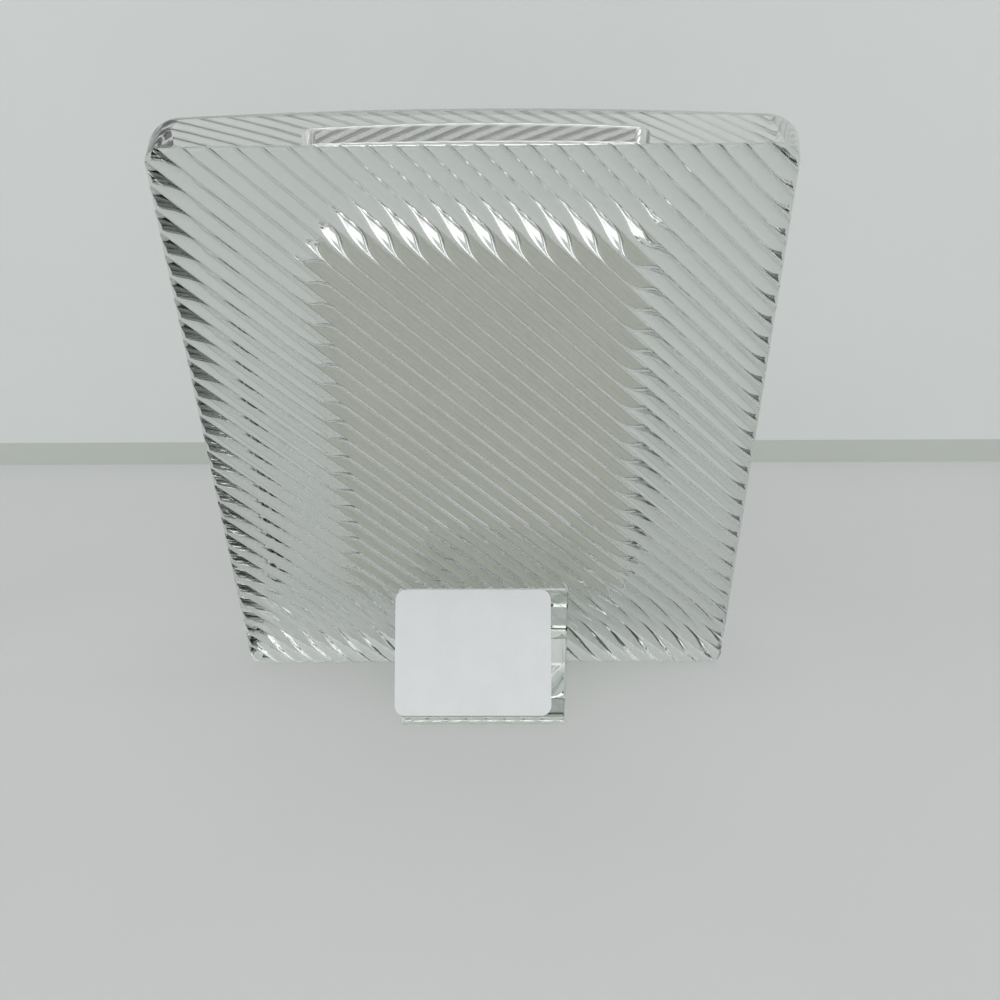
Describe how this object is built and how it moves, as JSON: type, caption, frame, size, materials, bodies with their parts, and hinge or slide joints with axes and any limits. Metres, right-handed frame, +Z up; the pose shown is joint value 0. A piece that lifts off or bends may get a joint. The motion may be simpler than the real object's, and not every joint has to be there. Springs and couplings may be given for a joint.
{
  "type": "glass picture frame",
  "caption": "Small upright picture frame of ribbed pressed glass, leaning back on a bonded wedge foot, with a backing pad, a print and a clear cover that lift out of its front recess.",
  "frame": {"origin": "on the table, under the middle of the frame's bounding box", "axes": "+Z up, +Y to the ribbed back and the foot, the picture faces -Y"},
  "size_m": [0.1054, 0.039, 0.1197],
  "materials": {
    "body_glass": "fire-polished pressed glass, faint grey-green",
    "foot_glass": "polished clear glass",
    "clear_adhesive": "clear cured adhesive film",
    "label_paper": "coated sticker paper, blank",
    "backing_board": "matt grey pulp board",
    "print_paper": "blank satin photo paper",
    "cover_glass": "clear flat pane"
  },
  "bodies": {
    "frame": {"glass_body": "body_glass", "easel_foot": "foot_glass", "foot_bond": "clear_adhesive", "price_label": "label_paper"},
    "cover": {"cover_pane": "cover_glass"},
    "print": {"picture_print": "print_paper"},
    "backing": {"backing_pad": "backing_board"}
  },
  "joints": [
    {"name": "cover_lift_out", "type": "slide", "parent": "frame", "child": "cover", "axis": [0, -0.9808, 0.1951], "range_m": [0, 0.03]},
    {"name": "print_lift_out", "type": "slide", "parent": "frame", "child": "print", "axis": [0, -0.9808, 0.1951], "range_m": [0, 0.02]},
    {"name": "backing_lift_out", "type": "slide", "parent": "frame", "child": "backing", "axis": [0, -0.9808, 0.1951], "range_m": [0, 0.01]}
  ],
  "couplings": [
    {"joint": "print_lift_out", "follows": "cover_lift_out", "ratio": 0.6666},
    {"joint": "backing_lift_out", "follows": "cover_lift_out", "ratio": 0.3333}
  ]
}
